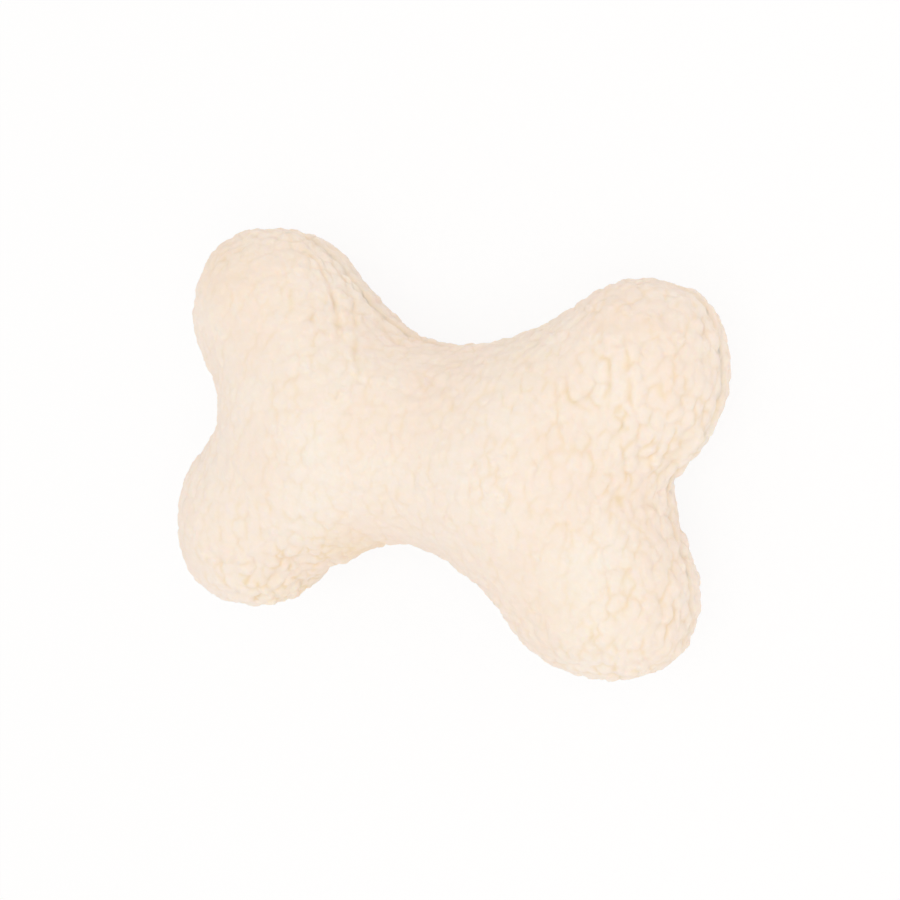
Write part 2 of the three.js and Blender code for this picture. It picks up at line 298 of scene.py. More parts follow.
# Lamps: metres right, up and back of the toy as the camera sees them, then width, power and colour
LAMPS = {
    "key_light": ((-0.17, -0.2, 1.3), 1.1, 5.45, (0.83, 0.92, 1.0)),
    "side_light": ((1.15, 0.4, 0.2), 0.9, 1.95, (0.22, 0.46, 1.0)),
}
WORLD_COLOUR = (1, 0.957, 0.93, 1)
WORLD_STRENGTH = 0.864
FLOOR_HALF_SIDE = 3.0
FLOOR_COLOUR = (0.95, 0.92, 0.89, 1)
FLOOR_WHITENESS = 0.88
WHITE = (1, 1, 1, 1)

# Colours of the fleece, of the painted shade between its curls and between its tufts, of the wadding and of
# the thread
CREAM_SHADE = (0.94, 0.79, 0.68, 1)
CREAM = (0.975, 0.86, 0.775, 1)
PAINTED_CURL_SHADE = (0.92, 0.75, 0.52, 1)
SHADE_BETWEEN_TUFTS = (0.82, 0.64, 0.31, 1)
SHADE_BETWEEN_SHARE = 0.5
SHEEN = (1.0, 0.84, 0.76, 1)
WADDING_SHADE = (0.86, 0.86, 0.85, 1)
WADDING_WHITE = (0.95, 0.95, 0.94, 1)
THREAD_SHADE = (0.84, 0.75, 0.61, 1)
THREAD_LIGHT = (0.93, 0.86, 0.74, 1)


def smoothstep(t):
    t = np.clip(t, 0.0, 1.0)
    return t * t * (3 - 2 * t)


def grown(shares, amount):
    """A share that is always there and one that grows with an amount."""
    always, more = shares
    return always + more * amount


# Camera, light and floor
def add_camera():
    yaw, pitch, roll = (math.radians(a) for a in (CAMERA_YAW, CAMERA_PITCH, CAMERA_ROLL))
    turn = Matrix.Rotation(roll, 3, "Z") @ Matrix.Rotation(pitch, 3, "X") @ Matrix.Rotation(yaw, 3, "Y")
    away = turn.transposed() @ Vector((CAMERA_OFFSET[0], CAMERA_OFFSET[1], CAMERA_DISTANCE))
    place = (Vector((0, 0, SEAM_HEIGHT)) + away) * MM
    data = bpy.data.cameras.new("camera")
    data.sensor_fit = "HORIZONTAL"
    data.sensor_width = SENSOR
    data.lens = SENSOR * PIXELS_PER_MM * CAMERA_DISTANCE / PHOTO_SIDE
    data.clip_start = 0.01
    data.clip_end = 20.0
    camera = bpy.data.objects.new("camera", data)
    camera.matrix_world = Matrix.Translation(place) @ turn.transposed().to_4x4()
    bpy.context.collection.objects.link(camera)
    bpy.context.scene.camera = camera
    return camera


def add_lamps(camera):
    """The lamps, each a disc that faces the toy's middle."""
    to_camera = camera.matrix_world.to_3x3()
    middle = Vector((0, 0, SEAM_HEIGHT * MM))
    for name, (steps, width, power, colour) in LAMPS.items():
        data = bpy.data.lights.new(name, "AREA")
        data.shape = "DISK"
        data.size = width
        data.energy = power
        data.color = colour
        lamp = bpy.data.objects.new(name, data)
        lamp.location = middle + to_camera @ Vector(steps)
        lamp.rotation_euler = (middle - lamp.location).to_track_quat("-Z", "Y").to_euler()
        bpy.context.collection.objects.link(lamp)


def add_node(nodes, kind, **sockets):
    """A shader node with some of its sockets set. An underscore in a socket's name stands for a space."""
    node = nodes.new("ShaderNode" + kind)
    for name, value in sockets.items():
        node.inputs[name.replace("_", " ")].default_value = value
    return node


def math_node(nodes, operation, second=0.0):
    """A math node whose second input is a plain number, unless something is linked to it."""
    node = add_node(nodes, "Math")
    node.operation = operation
    node.inputs[1].default_value = second
    return node


def make_world():
    """Even light on the toy, and plain white wherever the world itself is seen, mirrored or seen through."""
    world = bpy.data.worlds.new("studio")
    bpy.context.scene.world = world
    world.use_nodes = True
    nodes, links = world.node_tree.nodes, world.node_tree.links
    nodes.clear()
    rays = add_node(nodes, "LightPath")
    shown = rays.outputs["Is Camera Ray"]
    for kind in ("Is Glossy Ray", "Is Transmission Ray"):
        either = math_node(nodes, "MAXIMUM")
        links.new(shown, either.inputs[0])
        links.new(rays.outputs[kind], either.inputs[1])
        shown = either.outputs[0]
    lit = add_node(nodes, "Background", Color=WORLD_COLOUR, Strength=WORLD_STRENGTH)
    seen = add_node(nodes, "Background", Color=WHITE, Strength=1.0)
    pick = add_node(nodes, "MixShader")
    out = add_node(nodes, "OutputWorld")
    links.new(shown, pick.inputs[0])
    links.new(lit.outputs[0], pick.inputs[1])
    links.new(seen.outputs[0], pick.inputs[2])
    links.new(pick.outputs[0], out.inputs[0])


def make_floor():
    """A white sweep that keeps the toy's shadow: paper under a glow that only the camera sees."""
    corners = ((-1, -1), (1, -1), (1, 1), (-1, 1))
    bm = bmesh.new()
    bm.faces.new([bm.verts.new((x * FLOOR_HALF_SIDE, y * FLOOR_HALF_SIDE, 0)) for x, y in corners])
    floor = new_object("floor", bm)
    material = bpy.data.materials.new("floor")
    material.use_nodes = True
    nodes, links = material.node_tree.nodes, material.node_tree.links
    nodes.clear()
    paper = add_node(nodes, "BsdfDiffuse", Color=FLOOR_COLOUR)
    glow = add_node(nodes, "Emission", Color=WHITE, Strength=1.0)
    path = add_node(nodes, "LightPath")
    part = math_node(nodes, "MULTIPLY", FLOOR_WHITENESS)
    mix = add_node(nodes, "MixShader")
    output = add_node(nodes, "OutputMaterial")
    links.new(path.outputs["Is Camera Ray"], part.inputs[0])
    links.new(part.outputs[0], mix.inputs[0])
    links.new(paper.outputs[0], mix.inputs[1])
    links.new(glow.outputs[0], mix.inputs[2])
    links.new(mix.outputs[0], output.inputs[0])
    floor.data.materials.append(material)


# Meshes and their points
def new_object(name, bm_or_mesh):
    if isinstance(bm_or_mesh, bmesh.types.BMesh):
        mesh = bpy.data.meshes.new(name)
        bm_or_mesh.to_mesh(mesh)
        bm_or_mesh.free()
    else:
        mesh = bm_or_mesh
        mesh.name = name
    obj = bpy.data.objects.new(name, mesh)
    bpy.context.collection.objects.link(obj)
    return obj


def evaluated_mesh(obj):
    bpy.context.view_layer.update()
    depsgraph = bpy.context.evaluated_depsgraph_get()
    return bpy.data.meshes.new_from_object(obj.evaluated_get(depsgraph), depsgraph=depsgraph)


def finished(obj):
    """An object's mesh after its modifiers. The object itself is removed."""
    mesh = evaluated_mesh(obj)
    data = obj.data
    bpy.data.objects.remove(obj)
    bpy.data.meshes.remove(data)
    return mesh


def remesh(obj, cell):
    """Has an object made again in even cells of a size in millimetres."""
    modifier = obj.modifiers.new("remesh", "REMESH")
    modifier.mode = "VOXEL"
    modifier.voxel_size = cell * MM


def subdivide(obj, levels):
    modifier = obj.modifiers.new("subdivide", "SUBSURF")
    modifier.levels = modifier.render_levels = levels


def vectors_of(mesh, what):
    flat = np.empty(len(mesh.vertices) * 3)
    mesh.vertices.foreach_get(what, flat)
    return flat.reshape(-1, 3)


def set_points(mesh, points):
    mesh.vertices.foreach_set("co", np.ascontiguousarray(points, dtype=np.float32).ravel())
    mesh.update()


def smooth_faces(mesh):
    mesh.polygons.foreach_set("use_smooth", [True] * len(mesh.polygons))


def skin(bm, rings):
    """Quads between rings of equally many points, added to a bmesh. Gives the rings' vertices back."""
    made = [[bm.verts.new(Vector(p)) for p in ring] for ring in rings]
    count = len(rings[0])
    for lower, upper in zip(made, made[1:]):
        for k in range(count):
            bm.faces.new((lower[k], upper[k], upper[(k + 1) % count], lower[(k + 1) % count]))
    return made


# The bone's form, in millimetres about the middle of the seam plane
def spokes(inset, lobe_steps, branch_steps, middle_steps):
    """Outline points at an inset from the seam, the spine point that each faces, and half thicknesses."""
    middle = (0.0, 0.0, WAIST_HALF)

    def fork(side):
        return (side * FORK_X, 0.0, FORK_HALF)

    def lobe(side_x, side_y):
        return (side_x * LOBE_X, side_y * LOBE_Y, LOBE_HALF)

    def round_lobe(side_x, side_y):
        return [(lobe(side_x, side_y), lobe(side_x, side_y), lobe_steps)]

    def along_waist(side_x, side_y):
        """The legs of the spine that a waist faces, starting on one side of the toy."""
        return [
            (lobe(side_x, side_y), fork(side_x), branch_steps),
            (fork(side_x), middle, middle_steps),
            (middle, fork(-side_x), middle_steps),
            (fork(-side_x), lobe(-side_x, side_y), branch_steps),
        ]

    def along_notch(side_x, side_y):
        return [
            (lobe(side_x, side_y), fork(side_x), branch_steps),
            (fork(side_x), lobe(side_x, -side_y), branch_steps),
        ]

    round_, waist, notch = LOBE_RADIUS - inset, WAIST_RADIUS + inset, NOTCH_RADIUS + inset
    wa, na, pi = WAIST_ANGLE, NOTCH_ANGLE, math.pi
    arcs = [
        (0, -WAIST_Y, waist, pi - wa, wa, along_waist(-1, -1)),
        (LOBE_X, -LOBE_Y, round_, wa - pi, na, round_lobe(1, -1)),
        (NOTCH_X, 0, notch, pi + na, pi - na, along_notch(1, -1)),
        (LOBE_X, LOBE_Y, round_, -na, pi - wa, round_lobe(1, 1)),
        (0, WAIST_Y, waist, -wa, wa - pi, along_waist(1, 1)),
        (-LOBE_X, LOBE_Y, round_, wa, pi + na, round_lobe(-1, 1)),
        (-NOTCH_X, 0, notch, na, -na, along_notch(-1, 1)),
        (-LOBE_X, -LOBE_Y, round_, pi - na, 2 * pi - wa, round_lobe(-1, -1)),
    ]
    edges, feet, halves = [], [], []
    for x, y, radius, start, end, legs in arcs:
        total = sum(steps for _, _, steps in legs)
        done = 0
        for tail, head, steps in legs:
            for k in range(steps):
                share = k / steps
                angle = start + (end - start) * (done + k) / total
                edges.append((x + radius * math.cos(angle), y + radius * math.sin(angle)))
                feet.append([tail[i] + (head[i] - tail[i]) * share for i in (0, 1)])
                halves.append(tail[2] + (head[2] - tail[2]) * smoothstep(share))
            done += steps
    return np.array(edges), np.array(feet), np.array(halves)


def dome_rings(inset, base, rings, steps):
    """Rings from the crown over the spine (first) to the rim at the outline (last), as quarter ellipses."""
    edges, feet, halves = spokes(inset, *steps)
    rise = halves - inset - base
    result = []
    for i in range(rings + 1):
        turn = i / rings * math.pi / 2
        plan = feet + (edges - feet) * math.sin(turn)
        result.append(np.column_stack([plan, base + rise * math.cos(turn)]))
    return result


def near_in_plan(points, x, y, reach):
    """How near points lie to a place in plan: 1 there, and next to nothing at twice the reach."""
    return np.exp(-((points[:, 0] - x) ** 2 + (points[:, 1] - y) ** 2) / reach ** 2)


def pushed(points):
    """Points after the uneven pushes of the stuffing, which shift them in plan."""
    result = np.array(points, dtype=float)
    for x, y, dx, dy, reach in PUSHES:
        near = near_in_plan(points, x, y, reach)
        result[:, 0] += near * dx
        result[:, 1] += near * dy
    return result


def blown_up(form, rest):
    """Where the points of a form go when it is made of cloth, with air inside and a slightly shrunk seam."""
    seam = form.vertex_groups.new(name="seam")
    for i, point in enumerate(rest):
        near = 1 - abs(point[2] / MM - SEAM_HEIGHT) / VOXEL
        if near > 0:
            seam.add([i], near, "REPLACE")
    cloth = form.modifiers.new("cloth", "CLOTH")
    settings = cloth.settings
    settings.quality = 6
    settings.mass = 0.3
    settings.tension_stiffness = 12
    settings.compression_stiffness = 12
    settings.shear_stiffness = 4
    settings.bending_stiffness = 0.3
    settings.use_pressure = True
    settings.uniform_pressure_force = SIM_PRESSURE
    settings.vertex_group_shrink = "seam"
    settings.shrink_min = 0.0
    settings.shrink_max = SIM_SHRINK
    settings.effector_weights.gravity = 0
    cloth.collision_settings.use_collision = False
    cloth.point_cache.frame_start = 1
    cloth.point_cache.frame_end = SIM_FRAMES
    scene = bpy.context.scene
    for step in range(1, SIM_FRAMES + 1):
        scene.frame_set(step)
    moved = evaluated_mesh(form)
    shift = vectors_of(moved, "co") - rest
    bpy.data.meshes.remove(moved)
    form.modifiers.clear()
    scene.frame_set(1)
    length = np.linalg.norm(shift, axis=1, keepdims=True)
    shift *= SIM_CAP * MM / np.maximum(length, SIM_CAP * MM)
    mean, most = (round(float(value / MM), 2) for value in (length.mean(), length.max()))
    print("cloth moved the form by", mean, "mm on average and", most, "mm at most")
    return rest + shift


def stuffed_form():
    """The closed form of the stuffed toy, blown up a little as cloth, so that it pulls and puckers."""
    bm = bmesh.new()
    top = [pushed(ring) for ring in dome_rings(SIM_INSET, 0.0, FORM_RINGS, STEPS)]
    bottom = [ring * (1, 1, -1) for ring in top[-2::-1]]
    skin(bm, top + bottom)
    bmesh.ops.remove_doubles(bm, verts=bm.verts, dist=WELD)
    bmesh.ops.recalc_face_normals(bm, faces=bm.faces)
    bmesh.ops.translate(bm, verts=bm.verts, vec=(0, 0, SEAM_HEIGHT))
    bmesh.ops.scale(bm, verts=bm.verts, vec=(MM, MM, MM))
    rough = new_object("rough_form", bm)
    remesh(rough, VOXEL)
    form = new_object("form", finished(rough))
    points = vectors_of(form.data, "co")
    points = blown_up(form, points)
    set_points(form.data, points)
    subdivide(form, SUBDIVISIONS)
    return finished(form)


# The pile and the folds of the fleece
NOISE3_STEPS = (13.7, 7.3, 3.1)
NOISE1_STEPS = (11.9, 5.7, 2.3)


def noise3(points, size, seed):
    """Three channels of smooth noise from about -1 to 1."""
    offset = Vector([seed * step for step in NOISE3_STEPS])
    return np.array([noise.noise_vector(Vector(p) / size + offset) for p in points])


def noise1(points, size, seed):
    """One channel of smooth noise from about -1 to 1."""
    offset = Vector([seed * step for step in NOISE1_STEPS])
    return np.array([noise.noise(Vector(p) / size + offset) for p in points])


BESIDE = [(dx, dy, dz) for dx in (-1, 0, 1) for dy in (-1, 0, 1) for dz in (-1, 0, 1)]


def crowded(cells, cell, p, spacing):
    """Whether a point that was chosen before lies closer than the spacing."""
    for dx, dy, dz in BESIDE:
        for q in cells.get((cell[0] + dx, cell[1] + dy, cell[2] + dz), ()):
            if (q[0] - p[0]) ** 2 + (q[1] - p[1]) ** 2 + (q[2] - p[2]) ** 2 < spacing * spacing:
                return True
    return False


def scatter(points, spacing, seed):
    """Picks points that lie no closer to each other than a spacing, in a seeded random order."""
    rng = np.random.default_rng(seed)
    cells = {}
    chosen = []
    for i in rng.permutation(len(points)):
        p = points[i]
        cell = tuple(int(c) for c in np.floor(p / spacing))
        if not crowded(cells, cell, p, spacing):
            cells.setdefault(cell, []).append(p)
            chosen.append(i)
    return np.array(chosen)


def folded(points):
    """Rise of the surface beside and in the folds, and how much painted shade they lay on a point (0 to 1).
    """
    rise = np.zeros(len(points))
    shade = np.zeros(len(points))
    for depth, painted_shade, width, *route in FOLDS:
        nearest = np.full(len(points), np.inf)
        taper = np.zeros(len(points))
        count = len(route) - 1
        for i, (start, end) in enumerate(zip(route, route[1:])):
            start, end = np.array(start, dtype=float), np.array(end, dtype=float)
            along = np.clip((points - start) @ (end - start) / ((end - start) @ (end - start)), 0, 1)
            away = np.linalg.norm(points - start - along[:, None] * (end - start), axis=1)
            fade = np.sin(math.pi * (FADE_START + FADE_SPAN * (i + along) / count)) ** FADE_POWER
            closer = away < nearest
            nearest = np.where(closer, away, nearest)
            taper = np.where(closer, fade, taper)
        valley = np.exp(-(nearest / width) ** 2)
        banks = np.exp(-((nearest - BANK_PLACE * width) / (BANK_WIDTH * width)) ** 2)
        rise += depth * taper * (BANK_HEIGHT * banks - valley)
        # Painted shade along the fold's valley
        shade = np.maximum(shade, painted_shade * taper * valley)
    return rise, shade


def tufts(points):
    """At each point the tufts' level, the step down to the next tuft, and how upright the parting runs."""
    rng = np.random.default_rng(seed=7)
    nap = np.array([1.0, NAP_SQUEEZE, 1.0])
    wander = TUFT_WANDER * noise3(points, size=7.0, seed=1)
    fine_wander = TUFT_FINE_WANDER * noise3(points, size=2.8, seed=2)
    warped = (points + wander + fine_wander) * nap
    candidates = (points * nap)[rng.permutation(len(points))[:TUFT_CANDIDATES]]
    seeds = candidates[scatter(candidates, TUFT_SPACING, seed=11)]
    height = rng.uniform(*TUFT_HEIGHTS, len(seeds))
    tree = kdtree.KDTree(len(seeds))
    for i, p in enumerate(seeds):
        tree.insert(p, i)
    tree.balance()
    level, border, upright = (np.empty(len(points)) for _ in range(3))
    for k, p in enumerate(warped):
        total = 0.0
        highest = []
        for _, i, d in tree.find_n(p, TUFT_NEIGHBOURS):
            high = height[i] - TUFT_ROUNDNESS * d * d
            highest.append((high, i))
            total += math.exp(TUFT_SHARPNESS * high)
        level[k] = math.log(total) / TUFT_SHARPNESS
        highest.sort(reverse=True)
        (first, i), (second, j) = highest[:2]
        apart = seeds[i] - seeds[j]
        border[k] = first - second
        upright[k] = abs(apart[0]) / np.linalg.norm(apart)
    return (level - level.mean()) / level.std(), border, upright


def patches(points, rows):
    """The sum of soft round patches, each given by its place in plan, reach and strength."""
    return sum(strength * near_in_plan(points, x, y, reach) for x, y, reach, strength in rows)


def pile(points):
    """The pile's rise along the normals, and how much painted shade each point gets in partings, hollows,
    folds and patches (0 to 1).
    """
    level, border, upright = tufts(points)
    lively = CALM + patches(points, LIVELY)
    lively = np.clip(lively * (1 + LIVELY_CHANGE * noise1(points, size=16.0, seed=3)), *LIVELY_RANGE)
    shown = smoothstep((noise1(points * SHOWN_STRETCH, size=4.5, seed=13) - SHOWN_FROM) / SHOWN_RANGE)
    open_here = grown(UPRIGHT_SHARES, upright) * grown(SHOWN_SHARES, shown) * lively
    line = np.exp(-(border / LINE_WIDTH) ** 2) * open_here
    # Painted shade in the partings between the tufts
    painted_shade = PAINTED_SHADE_STRENGTH * np.exp(-(border / PAINTED_SHADE_WIDTH) ** 2) * open_here
    ridges = noise1(points + CURL_WANDER * noise3(points, size=3.0, seed=6), CURL_SIZE, seed=4)
    curls = np.sqrt(ridges ** 2 + CURL_SOFTNESS ** 2) - CURL_MIDDLE
    lumps = noise1(points, size=9.0, seed=5)
    # The folds' rise, and the painted shade in them (dark)
    fold, dark = folded(points + FOLD_WANDER * noise3(points, size=8.0, seed=9))
    near_seam = np.exp(-((points[:, 2] - SEAM_HEIGHT) / RIM_REACH) ** 2)
    rim = RIM_RELIEF * grown(RIM_SHARES, lively) * near_seam
    rise = TUFT_RELIEF * (grown(RELIEF_SHARES, lively) + rim) * level
    rise += CURL_RELIEF * curls + LUMP_RELIEF * lumps
    rise += fold - LINE_DEPTH * line
    # Painted shade in the hollows where the tufts lie low
    hollow_shade = HOLLOW_PAINTED_SHADE * smoothstep((-level - HOLLOW_FROM) / HOLLOW_RANGE) * lively
    # All the painted shade: in the partings, the hollows, the folds and the patches, 0 to 1
    return rise, np.clip(painted_shade + hollow_shade + dark + patches(points, PAINTED_SHADE_PATCHES), 0, 1)


# The fleece panels
def make_fleece():
    """Both panels as closed shells: the stuffed form with its pile and groove, cut in two at the seam."""
    fine = stuffed_form()
    bm = bmesh.new()
    bm.from_mesh(fine)
    bpy.data.meshes.remove(fine)
    bmesh.ops.bisect_plane(bm, geom=bm.verts[:] + bm.edges[:] + bm.faces[:], dist=1e-6,
                           plane_co=(0, 0, SEAM_HEIGHT * MM), plane_no=(0, 0, 1))
    mesh = bpy.data.meshes.new("fine")
    bm.to_mesh(mesh)
    bm.free()
    base = vectors_of(mesh, "co") / MM
    rise, parting = pile(base)
    from_seam = np.abs(base[:, 2] - SEAM_HEIGHT)
    near_seam = np.exp(-(from_seam / SEAM_GROOVE_WIDTH) ** 2)
    groove = near_seam * (SEAM_GROOVE_DEPTH + SEAM_GROOVE_CHANGE * noise1(base, size=6.0, seed=8))
    # Painted shade in the seam's groove
    parting = np.maximum(parting, SEAM_PAINTED_SHADE * near_seam)
    moved = vectors_of(mesh, "normal") * (rise - groove)[:, None]
    moved[:, 2] *= smoothstep(from_seam / SEAM_STILL_BAND)
    placed = base + moved
    placed[from_seam < ON_SEAM, 2] = SEAM_HEIGHT
    around = base * (1, 1, 0)
    line = noise1(around, size=11.0, seed=14) + SEAM_RIPPLE * noise1(around, size=3.5, seed=15)
    placed[:, 2] += SEAM_WANDER * line * np.exp(-(from_seam / SEAM_WANDER_REACH) ** 2)
    placed[:, 2] = np.maximum(placed[:, 2], 0.0)
    set_points(mesh, placed * MM)
    over_seam = base[:, 2] - SEAM_HEIGHT
    front = make_panel("front_fleece", 1, mesh, over_seam, parting)
    back = make_panel("back_fleece", -1, mesh, over_seam, parting)
    bpy.data.meshes.remove(mesh)
    return front, back


def make_panel(name, side, mesh, over_seam, parting):
    """One side of the skin, with the painted shade at its points as an attribute, closed into a shell."""
    bm = bmesh.new()
    bm.from_mesh(mesh)
    layer = bm.verts.layers.float.new("parting")
    bm.verts.ensure_lookup_table()
    for v, value in zip(bm.verts, parting):
        v[layer] = value
    away = [f for f in bm.faces if sum(over_seam[v.index] for v in f.verts) * side < 0]
    bmesh.ops.delete(bm, geom=away, context="FACES")
    rim = [e for e in bm.edges if len(e.link_faces) == 1]
    for e in rim:
        e.smooth = False
    for v in {v for e in rim for v in e.verts}:
        v.co.z += side * SEAM_PARTING * MM
    return close_panel(bm, name, side, rim)


def walk(edges):
    """The vertices along a closed run of edges, in order."""
    links = {}
    for edge in edges:
        for v in edge.verts:
            links.setdefault(v, []).append(edge.other_vert(v))
    start = edges[0].verts[0]
    order, previous, current = [start], None, start
    while True:
        one, other = links[current]
        following = other if one is previous else one
        if following is start:
            return order
        order.append(following)
        previous, current = current, following


def turning(loop):
    """Twice the area inside a loop in plan, positive when it runs counter-clockwise."""
    x = np.array([v.co.x for v in loop])
    y = np.array([v.co.y for v in loop])
    return float(np.sum(x * np.roll(y, -1) - y * np.roll(x, -1)))


def zip_loops(bm, outer, inner):
    """Triangles between two closed loops that run side by side, however many points each has."""
    if turning(outer) * turning(inner) < 0:
        inner = inner[::-1]
    first = min(range(len(inner)), key=lambda k: (inner[k].co - outer[0].co).length)
    inner = inner[first:] + inner[:first]
    n, m, i, j = len(outer), len(inner), 0, 0
    while i < n or j < m:
        a, b = outer[i % n], inner[j % m]
        next_a, next_b = outer[(i + 1) % n], inner[(j + 1) % m]
        if j == m or (i < n and (next_a.co - b.co).length <= (next_b.co - a.co).length):
            bm.faces.new((a, next_a, b))
            i += 1
        else:
            bm.faces.new((a, next_b, b))
            j += 1


def close_panel(bm, name, side, rim):
    """Gives a panel's outer skin its seam allowance and its inside, so that it is a closed shell."""
    allowance_inset = FLEECE + ALLOWANCE_WIDTH
    allowance_top = HALF_GAP + ALLOWANCE_THICKNESS
    outer_edges, _, _ = spokes(0.0, *STEPS)
    slot_half = TURNING_GAP / 2 + CHANNEL_END_ROOM
    in_slot = (outer_edges[:, 1] < 0) & (np.abs(outer_edges[:, 0]) < slot_half)
    channel = THREAD_RADIUS + SEAT_GAP
    roof = HALF_GAP + in_slot * channel

    def flat(inset, z):
        edges, _, _ = spokes(inset, *STEPS)
        return np.column_stack([edges, np.broadcast_to(z, len(edges))])

    depth = CLOSING_THREAD_DEPTH
    rings = [
        flat(depth - channel - CHANNEL_SLOPE, HALF_GAP),
        flat(depth - channel, roof),
        flat(depth + channel, roof),
        flat(depth + channel + CHANNEL_SLOPE, HALF_GAP),
        flat(allowance_inset, HALF_GAP),
        flat(allowance_inset, allowance_top),
        *dome_rings(FLEECE, allowance_top, INSIDE_RINGS, STEPS)[::-1],
    ]
    placed = []
    for ring in rings:
        ring = pushed(ring) * (1, 1, side)
        ring[:, 2] += SEAM_HEIGHT
        placed.append(ring * MM)
    made = skin(bm, placed)
    zip_loops(bm, walk(rim), made[0])
    inner = [v for ring in made for v in ring]
    bmesh.ops.remove_doubles(bm, verts=inner, dist=WELD * MM)
    bmesh.ops.recalc_face_normals(bm, faces=bm.faces)
    for face in bm.faces:
        face.smooth = True
    open_edges = sum(1 for e in bm.edges if len(e.link_faces) != 2)
    print(name, "faces", len(bm.faces), "open edges", open_edges)
    return new_object(name, bm)


# Wadding
def wad(node, seed):
    """A lump of wadding inside its solid: rounded, and pulled in here and there between its tufts."""
    lump = new_object("lump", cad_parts[node].data.copy())
    remesh(lump, WAD_VOXEL)
    soften = lump.modifiers.new("soften", "SMOOTH")
    soften.factor = 0.5
    soften.iterations = 2
    subdivide(lump, levels=1)
    mesh = finished(lump)
    base = vectors_of(mesh, "co") / MM
    normals = vectors_of(mesh, "normal")
    lumps = 0.5 - 0.5 * noise1(base, 9.0, seed) + WAD_CREASES * np.abs(noise1(base, 3.5, seed + 1))
    inward = WAD_SHRINK + WAD_LUMPS * np.clip(lumps, 0, WAD_LUMP_LIMIT)
    placed = base - normals * inward[:, None]
    set_points(mesh, pushed(placed) * MM)
    smooth_faces(mesh)
    mesh.materials.clear()
    return new_object(node.replace("filling", "wadding"), mesh)


# Threads
def tube(name, route, radius, sides=10, plies=3, lay=2.4, ply_depth=0.12):
    """A twisted thread along a route of points, with rounded-off ends."""
    route = np.asarray(route, dtype=float)
    ahead = np.gradient(route, axis=0)
    ahead /= np.linalg.norm(ahead, axis=1, keepdims=True)
    across = np.cross(ahead, (0.0, 0.0, 1.0))
    across /= np.linalg.norm(across, axis=1, keepdims=True)
    upward = np.cross(across, ahead)
    travelled = np.concatenate([[0], np.cumsum(np.linalg.norm(np.diff(route, axis=0), axis=1))])
    around = np.arange(sides) / sides * 2 * math.pi
    bm = bmesh.new()
    rings = []
    for k, centre in enumerate(route):
        taper = THREAD_END_TAPER if k in (0, len(route) - 1) else 1.0
        wave = np.cos(plies * (around - travelled[k] / lay * 2 * math.pi))
        reach = radius * taper * (1 - ply_depth * 0.5 + ply_depth * 0.5 * wave)
        sideways = (np.cos(around) * reach)[:, None] * across[k]
        upwards = (np.sin(around) * reach)[:, None] * upward[k]
        rings.append((centre + sideways + upwards) * MM)
    made = skin(bm, rings)
    bm.faces.new(made[0])
    bm.faces.new(made[-1])
    bmesh.ops.recalc_face_normals(bm, faces=bm.faces)
    thread = new_object(name, bm)
    smooth_faces(thread.data)
    return thread


def resampled(points, step):
    """Points along a polyline at even steps, and how far along each one lies."""
    travelled = np.concatenate([[0], np.cumsum(np.linalg.norm(np.diff(points, axis=0), axis=1))])
    count = max(2, int(travelled[-1] / step) + 1)
    at = np.linspace(0, travelled[-1], count)
    return np.column_stack([np.interp(at, travelled, points[:, i]) for i in range(points.shape[1])]), at


def seam_route():
    """The stitch line in plan, from one end of the turning gap round to the other."""
    edges, _, _ = spokes(FLEECE + STITCH_INSET, *SEAM_ROUTE_STEPS)
    far_side = edges[:, 1] > 0
    start = int(np.argmin(np.where(far_side, np.inf, np.abs(edges[:, 0]))))
    loop = np.roll(edges, -start, axis=0)
    sewn = (loop[:, 1] > 0) | (np.abs(loop[:, 0]) > TURNING_GAP / 2)
    return pushed(loop[sewn])


def lockstitch(name, side):
    plan, at = resampled(seam_route(), THREAD_STEP)
    hole = np.abs((at + STITCH_LENGTH / 2) % STITCH_LENGTH - STITCH_LENGTH / 2)
    lying = HALF_GAP + ALLOWANCE_THICKNESS + SEAT_GAP + THREAD_RADIUS
    height = lying - STITCH_DIP * np.exp(-(hole / HOLE_REACH) ** 2)
    return tube(name, np.column_stack([plan, SEAM_HEIGHT + side * height]), THREAD_RADIUS)


def ladder_stitch(name):
    """The hand stitch that closes the turning gap: it runs along one fold, then steps over to the other."""
    radius = WAIST_RADIUS + CLOSING_THREAD_DEPTH
    reach = TURNING_GAP / 2 / WAIST_RADIUS
    angle = np.linspace(math.pi / 2 + reach, math.pi / 2 - reach, LADDER_STEPS)
    arc = np.column_stack([radius * np.cos(angle), radius * np.sin(angle) - WAIST_Y])
    plan, at = resampled(pushed(arc), THREAD_STEP)
    rung = np.tanh(LADDER_SHARPNESS * np.sin(at / LADDER_PITCH * 2 * math.pi))
    return tube(name, np.column_stack([plan, SEAM_HEIGHT + LADDER_RUNG * rung]), THREAD_RADIUS)


# The squeaker's bulb
def bulb_profile(radius, half, neck, steps, ridge=0.0):
    """A pillow-shaped half section, as radius and height, from its lowest point up to the neck."""
    last = math.acos((neck / radius) ** (BULB_FULLNESS / 2))
    angle = np.linspace(-math.pi / 2, last, steps)
    across = np.maximum(np.cos(angle), 0) ** (2 / BULB_FULLNESS)
    up = np.abs(np.sin(angle)) ** (2 / BULB_FULLNESS) * np.sign(angle)
    mark = ridge * np.exp(-(half * up / MOULD_LINE_REACH) ** 2)
    rings = RING_HEIGHT * ridge * np.cos(across * RING_COUNT) ** RING_SHARPNESS * (np.abs(up) > RINGS_FROM)
    return np.column_stack([radius * across + mark, half * up + rings * np.sign(up)])


